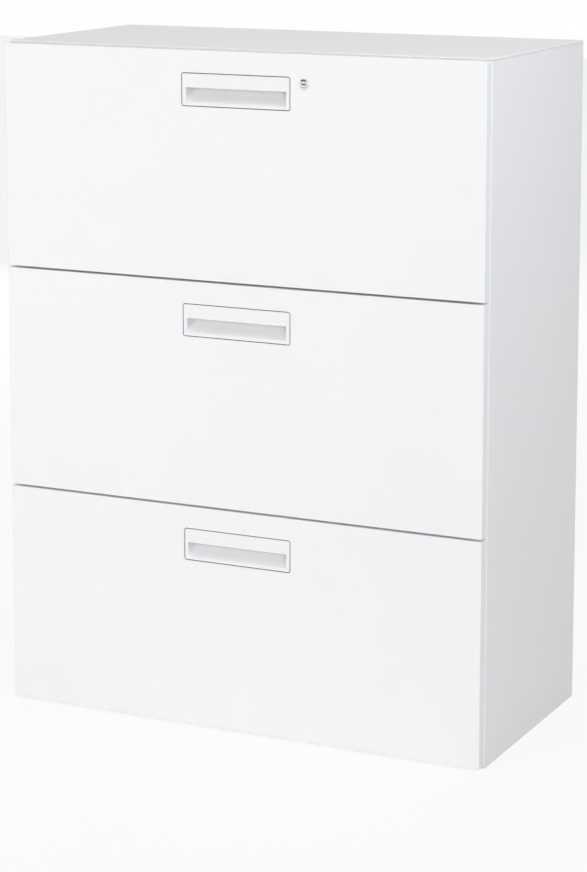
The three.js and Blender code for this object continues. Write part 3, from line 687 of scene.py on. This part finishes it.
for drawer in drawers:
    finished_copy(f"handle_{drawer}", white_plastic, handle_ease)
    handle_low, handle_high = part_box(f"handle_{drawer}")
    plate_face = handle_low.y
    plate_half = handle_high.x - handle_flange
    plate_low = handle_low.z + handle_flange
    plate_top = handle_high.z - handle_flange
    inner, outer = (
        rounded_loop(plate_half + reach, plate_low - reach, plate_top + reach, handle_corner + reach)
        for reach in (shade_ring_play, groove - shade_ring_play)
    )
    # The dark ring in the groove is painted shade: it stands for the groove's shadow round the plate.
    shade_ring_face = plate_face + shade_ring_sink
    shade_ring_back = plate_face + shade_ring_depth
    shade_ring_loops = [
        [(x, shade_ring_back, z) for x, z in inner],
        [(x, shade_ring_face, z) for x, z in inner],
        [(x, shade_ring_face, z) for x, z in outer],
        [(x, shade_ring_back, z) for x, z in outer],
    ]
    ring = bmesh.new()
    skin(ring, shade_ring_loops, joined=True)
    handle_groove_shade = new_piece(f"handle_groove_shade_{drawer}", ring, dark_shade_finish)
    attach(handle_groove_shade, f"drawer_{drawer}")
    recess = recess_levels(plate_face, plate_low + handle_lip, plate_top - fillet_drop)
    ends = bmesh.new()
    for sign in (-1, 1):
        skin(ends, fillet_loops(sign, plate_half - handle_rim, plate_face, recess), joined=False)
    fillets = new_piece(f"recess_fillets_{drawer}", ends, white_plastic)
    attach(fillets, f"drawer_{drawer}")


# Latches.
# Pulling the plastic lever behind the handle's plate turns a steel shaft, whose end hooks leave
# their catches. A leaf of blued spring steel bends with the lever and pushes it back.
spring_steel = rolled_steel(
    "blued spring steel",
    pale=(0.2, 0.23, 0.3),
    deep=(0.12, 0.14, 0.2),
    roughness=0.3,
    grain=(60.0, 60.0, 60.0),
)
lever_ease = 0.0003
shaft_ease = 0.0002
spring_sheet = 0.0006
spring_fold = 0.0005
spring_foot = 0.007
spring_slope = 0.007
spring_steps = 10


def spring_levels(low, high):
    """Front and rear points of the spring in Y and Z, down its foot, and down its leaf to the tip."""
    down = Vector((0.0, -1.0))
    rearward = Vector((spring_sheet, 0.0))
    top = Vector((high.y - spring_sheet, high.z))
    elbow = top + spring_foot * down
    tip = Vector((low.y, elbow.y - spring_slope))
    along = (tip - elbow).normalized()
    across = spring_sheet * Vector((-along.y, along.x))
    set_back = spring_fold * math.tan(along.angle(down) / 2)
    fold_start = elbow - set_back * down
    fold_end = elbow + set_back * along
    foot = [(point, point + rearward) for point in (top, fold_start)]
    leaf = []
    for step in range(spring_steps + 1):
        point = fold_end.lerp(tip, step / spring_steps)
        leaf.append((point, point + across))
    return foot, leaf


for drawer in drawers:
    finished_copy(f"latch_lever_{drawer}", white_plastic, lever_ease)
    finished_copy(f"latch_shaft_{drawer}", zinc_plate, shaft_ease)
    spring_low, spring_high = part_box(f"latch_spring_{drawer}")
    foot, leaf = spring_levels(spring_low, spring_high)
    spring_loops = [
        [
            (spring_low.x, *front),
            (spring_high.x, *front),
            (spring_high.x, *rear),
            (spring_low.x, *rear),
        ]
        for front, rear in foot + leaf
    ]
    strip = bmesh.new()
    skin(strip, spring_loops, joined=False)
    spring = new_piece(f"latch_spring_{drawer}_leaf", strip, spring_steel)
    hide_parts(f"latch_spring_{drawer}")
    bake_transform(spring)


# Lock.
# A turned brass barrel with a bright nickel plate sits in the top front. The key turns a plug in
# it, and a steel cam on the plug's tail lifts the lock bar.
lock_low, lock_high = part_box("lock_housing")
lock_x = (lock_low.x + lock_high.x) / 2
lock_z = (lock_low.z + lock_high.z) / 2
lock_face = lock_low.y
lock_ease = 0.0002
barrel_length = lock_high.y - lock_low.y
barrel_radius = 0.0066
bore_radius = 0.0049
bore_ease = 0.0002
flange_radius = lock_high.x - lock_x
flange_depth = 0.0007
flange_ease = 0.0001
shoulder_depth = 0.0005
dish_radius = 0.0071
dish_depth = 0.0002
rim_inner = 0.0072
rim_outer = 0.0074
turning_steps = 96


def around_lock(radius, depth, angle):
    """A point at a radius and angle about the lock's axis, and at a depth behind its face."""
    x = lock_x + radius * math.cos(angle)
    z = lock_z + radius * math.sin(angle)
    return (x, lock_face + depth, z)


def turned(profile):
    """The loops of points that turn a closed profile of radius and depth about the lock's axis."""
    loops = []
    for step in range(turning_steps):
        angle = 2 * math.pi * step / turning_steps
        loops.append([around_lock(radius, depth, angle) for radius, depth in profile])
    return loops


def turned_nickel(name):
    """Bright nickel with fine rings left by the lathe, centred on the lock."""
    material, tree, shader, place = new_finish(name)
    shader.inputs["Metallic"].default_value = 1.0
    centre = node_with(tree, "ShaderNodeMapping", {"Location": (-lock_x, 0.0, -lock_z)})
    rings = node_with(tree, "ShaderNodeTexWave", {"Scale": 900.0, "Distortion": 0.6})
    rings.wave_type = "RINGS"
    rings.rings_direction = "Y"
    tree.links.new(place, centre.inputs["Vector"])
    tree.links.new(centre.outputs["Vector"], rings.inputs["Vector"])
    patterned(
        tree,
        shader,
        pattern=rings.outputs["Fac"],
        span=(0.0, 1.0),
        tones=((0.76, 0.765, 0.76), (0.88, 0.885, 0.88)),
        gloss=(0.12, 0.2),
        relief=rings.outputs["Fac"],
        strength=0.08,
        depth=0.00002,
    )
    return material


nickel = turned_nickel("turned nickel")
# It runs from the plug's mouth over the dished face, its rim and the flange to the barrel's end.
housing_profile = [
    (bore_radius, shoulder_depth),
    (bore_radius + bore_ease, dish_depth),
    (dish_radius, dish_depth),
    (rim_inner, 0.0),
    (rim_outer, 0.0),
    (flange_radius - flange_ease, dish_depth),
    (flange_radius, shoulder_depth),
    (flange_radius, flange_depth),
    (barrel_radius, flange_depth),
    (barrel_radius, barrel_length),
    (bore_radius, barrel_length),
]
housing = bmesh.new()
skin(housing, turned(housing_profile), joined=True)
lock_housing = new_piece("lock_housing_turned", housing, nickel)
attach(lock_housing, "drawer_top")
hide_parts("lock_housing")
finished_copy("lock_plug", nickel, lock_ease)
finished_copy("lock_cam", zinc_plate, lock_ease)

# A dark arc above the keyway is a painted shadow: the crescent of shade that the housing's upper rim casts
# on the plug.
shadow_arc_face = 0.00005
shadow_arc_back = 0.0003
shadow_arc_inner = 0.0053
shadow_arc_outer = 0.0071
shadow_arc_reach = math.radians(36)
shadow_arc_steps = 16
shadow_arc_section = [
    (shadow_arc_inner, shadow_arc_back),
    (shadow_arc_inner, shadow_arc_face),
    (shadow_arc_outer, shadow_arc_face),
    (shadow_arc_outer, shadow_arc_back),
]
shadow_arc_loops = []
for step in range(shadow_arc_steps + 1):
    angle = math.pi / 2 + shadow_arc_reach * (2 * step / shadow_arc_steps - 1)
    shadow_arc_loops.append([around_lock(radius, depth, angle) for radius, depth in shadow_arc_section])
shadow_arc_mesh = bmesh.new()
skin(shadow_arc_mesh, shadow_arc_loops, joined=False)
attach(new_piece("lock_painted_shadow_arc", shadow_arc_mesh, dark_shade_finish), "drawer_top")

# Wards inside the keyway, in the near-black finish: their dark colour is painted shade in the slot.
wards_half_width = 0.0032
wards_half_height = 0.00085
wards_step = 0.6
wards_face = 0.0009
wards_back = 0.011
wards_outline = [
    (-1, -wards_step),
    (0, -wards_step),
    (0, -1),
    (1, -1),
    (1, wards_step),
    (0, wards_step),
    (0, 1),
    (-1, 1),
]
wards_loops = [
    [
        (lock_x + across * wards_half_width, lock_face + depth, lock_z + up * wards_half_height)
        for across, up in wards_outline
    ]
    for depth in (wards_face, wards_back)
]
wards = bmesh.new()
skin(wards, wards_loops, joined=False)
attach(new_piece("keyway_wards_painted_shade", wards, dark_shade_finish), "lock_core")

# A thin dark ring round the flange is painted shade: it draws the shadow line at the lock's rim.
shadow_ring_inner = 0.0068
shadow_ring_outer = 0.008
shadow_ring_face = 0.00075
shadow_ring_back = 0.0009
shadow_ring_profile = [
    (shadow_ring_inner, shadow_ring_back),
    (shadow_ring_inner, shadow_ring_face),
    (shadow_ring_outer, shadow_ring_face),
    (shadow_ring_outer, shadow_ring_back),
]
lock_shadow_ring_mesh = bmesh.new()
skin(lock_shadow_ring_mesh, turned(shadow_ring_profile), joined=True)
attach(new_piece("lock_shadow_ring", lock_shadow_ring_mesh, dark_shade_finish), "drawer_top")


# Lock bar.
# A bent steel bar inside the right wall, zinc-plated, with a tab for each drawer. The cam lifts it,
# and the tabs then stand in front of studs on the drawers' sides.
coated("lock_bar", zinc_plate)


# Floor and room.
# A pale floor that runs out of sight under a white room. The camera, metal and glass see the room
# white, and the object is lit at a plain level.
def seen_directly(tree):
    """One for what the camera, a mirror or glass sees, and nothing for light on the object."""
    rays = tree.nodes.new("ShaderNodeLightPath")
    seen = rays.outputs["Is Camera Ray"]
    for kind in ("Is Glossy Ray", "Is Transmission Ray"):
        either = tree.nodes.new("ShaderNodeMath")
        either.operation = "MAXIMUM"
        tree.links.new(seen, either.inputs[0])
        tree.links.new(rays.outputs[kind], either.inputs[1])
        seen = either.outputs["Value"]
    return seen


floor_half = 12.0
floor_white_share = 0.87
floor_mesh = bpy.data.meshes.new("floor")
floor_mesh.from_pydata(
    [
        (-floor_half, -floor_half, 0.0),
        (floor_half, -floor_half, 0.0),
        (floor_half, floor_half, 0.0),
        (-floor_half, floor_half, 0.0),
    ],
    [],
    [(0, 1, 2, 3)],
)
floor = bpy.data.objects.new("floor", floor_mesh)
bpy.context.scene.collection.objects.link(floor)

floor_paint = bpy.data.materials.new("pale floor")
floor_paint.use_nodes = True
floor_tree = floor_paint.node_tree
floor_tree.nodes.remove(floor_tree.nodes["Principled BSDF"])
floor_matt = node_with(floor_tree, "ShaderNodeBsdfDiffuse", {"Color": (0.9, 0.9, 0.9, 1)})
floor_white = node_with(floor_tree, "ShaderNodeEmission", {"Color": (1, 1, 1, 1), "Strength": 1.0})
floor_share = node_with(floor_tree, "ShaderNodeMath", {1: floor_white_share})
floor_share.operation = "MULTIPLY"
floor_mix = floor_tree.nodes.new("ShaderNodeMixShader")
floor_tree.links.new(seen_directly(floor_tree), floor_share.inputs[0])
floor_tree.links.new(floor_share.outputs["Value"], floor_mix.inputs["Fac"])
floor_tree.links.new(floor_matt.outputs["BSDF"], floor_mix.inputs[1])
floor_tree.links.new(floor_white.outputs["Emission"], floor_mix.inputs[2])
floor_tree.links.new(
    floor_mix.outputs["Shader"], floor_tree.nodes["Material Output"].inputs["Surface"]
)
floor_mesh.materials.append(floor_paint)

room_light = 0.25
room = bpy.data.worlds.new("white room")
bpy.context.scene.world = room
room.use_nodes = True
room_tree = room.node_tree
room_soft = room_tree.nodes["Background"]
room_soft.inputs["Color"].default_value = (1, 1, 1, 1)
room_soft.inputs["Strength"].default_value = room_light
room_white = node_with(room_tree, "ShaderNodeBackground", {"Color": (1, 1, 1, 1), "Strength": 1.0})
room_mix = room_tree.nodes.new("ShaderNodeMixShader")
room_tree.links.new(seen_directly(room_tree), room_mix.inputs["Fac"])
room_tree.links.new(room_soft.outputs["Background"], room_mix.inputs[1])
room_tree.links.new(room_white.outputs["Background"], room_mix.inputs[2])
room_tree.links.new(
    room_mix.outputs["Shader"], room_tree.nodes["World Output"].inputs["Surface"]
)


# Lamps.
# Five soft boxes: one faces the fronts from the left, one fills from the right, a small cool one
# lights the upper front of the side panel most, one hangs over the top and one lights the back.
def soft_box(name, place, target, size, power, tint, mirrored):
    """A square lamp that faces a point. Shiny surfaces mirror it or don't."""
    lamp = bpy.data.lights.new(name, "AREA")
    lamp.shape = "SQUARE"
    lamp.size = size
    lamp.energy = power
    lamp.color = tint
    box = bpy.data.objects.new(name, lamp)
    box.location = place
    box.rotation_mode = "QUATERNION"
    box.rotation_quaternion = (Vector(target) - Vector(place)).to_track_quat("-Z", "Y")
    box.visible_glossy = mirrored
    bpy.context.scene.collection.objects.link(box)


neutral = (1.0, 1.0, 1.0)
cool = (0.94, 0.965, 1.0)
warm = (1.0, 0.985, 0.97)
soft_box(
    "front soft box",
    place=(-1.45, -3.1, 1.15),
    target=(0.0, -0.2, 0.55),
    size=1.7,
    power=38.5,
    tint=neutral,
    mirrored=False,
)
soft_box(
    "fill soft box",
    place=(4.2, -5.2, 1.4),
    target=(0.2, -0.2, 0.6),
    size=2.4,
    power=131.0,
    tint=neutral,
    mirrored=True,
)
soft_box(
    "side soft box",
    place=(1.5, -0.4, 1.5),
    target=(0.4, -0.1, 0.9),
    size=0.5,
    power=5.2,
    tint=cool,
    mirrored=True,
)
soft_box(
    "top soft box",
    place=(0.0, -0.3, 4.0),
    target=(0.0, 0.0, 1.0),
    size=1.6,
    power=28.7,
    tint=warm,
    mirrored=True,
)
soft_box(
    "back soft box",
    place=(-2.4, 3.4, 1.5),
    target=(-0.1, 0.1, 0.55),
    size=2.0,
    power=60.0,
    tint=neutral,
    mirrored=False,
)


# Camera.
# It stands in front to the right, a little above the cabinet, and looks slightly down. The picture
# is 872 pixels high on a 36 mm sensor.
sensor = 36.0
focal_pixels = 2661.7
picture_height = 872.0
picture_shift = -0.19
camera_place = (1.7835, -3.6909, 1.3605)
camera_yaw = math.radians(25.799)
camera_pitch = math.radians(9.27)
eye = bpy.data.cameras.new("camera")
eye.sensor_width = sensor
eye.lens = focal_pixels * sensor / picture_height
eye.shift_y = picture_shift
camera = bpy.data.objects.new("camera", eye)
camera.location = camera_place
camera.rotation_euler = (math.pi / 2 - camera_pitch, 0.0, camera_yaw)
bpy.context.scene.collection.objects.link(camera)
bpy.context.scene.camera = camera
bpy.context.scene.view_settings.view_transform = "Standard"
